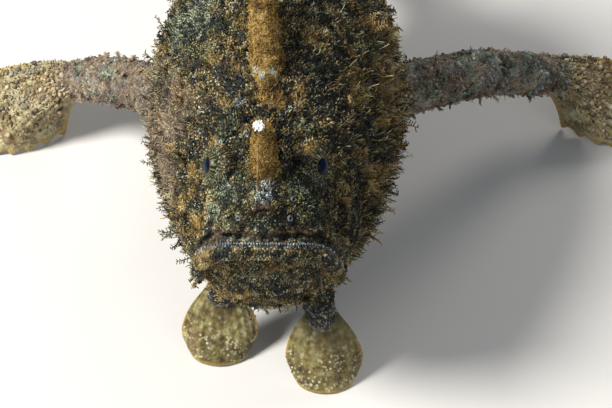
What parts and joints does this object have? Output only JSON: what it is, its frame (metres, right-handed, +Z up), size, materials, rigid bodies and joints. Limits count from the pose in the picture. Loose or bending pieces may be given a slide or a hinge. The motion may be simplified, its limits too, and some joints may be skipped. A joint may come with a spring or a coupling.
{
  "type": "painted frogfish",
  "caption": "Life-size painted frogfish resting on its fins, head raised, with a lure on its snout, bushy skin and a broad frowning mouth.",
  "frame": {"origin": "middle of the bounding box on X and Y, at the floor that the fins rest on", "axes": "+Z up; the fish faces -Y with its tail towards +Y; +X is towards its left side"},
  "size_m": [0.1694, 0.152, 0.0897],
  "materials": {
    "skin": "matt, rough, bushy skin",
    "spine": "matt, fuzzy orange-brown skin",
    "bait": "matt white, frilled",
    "fin": "satin, olive skin over rays",
    "eye": "glossy, dark blue"
  },
  "bodies": {
    "root": {"head": "skin", "lower_jaw": "skin", "torso": "skin", "tail_stalk": "skin", "pectoral_arm_left": "skin", "pectoral_arm_right": "skin", "pelvic_leg_left": "skin", "pelvic_leg_right": "skin", "second_dorsal_spine": "spine", "third_dorsal_spine": "spine", "lure_rod": "spine", "lure_tip": "bait", "pectoral_fin_left": "fin", "pectoral_fin_right": "fin", "pelvic_fin_left": "fin", "pelvic_fin_right": "fin", "dorsal_fin": "fin", "anal_fin": "fin", "tail_fin": "fin", "eye_left": "eye", "eye_right": "eye"}
  },
  "joints": []
}
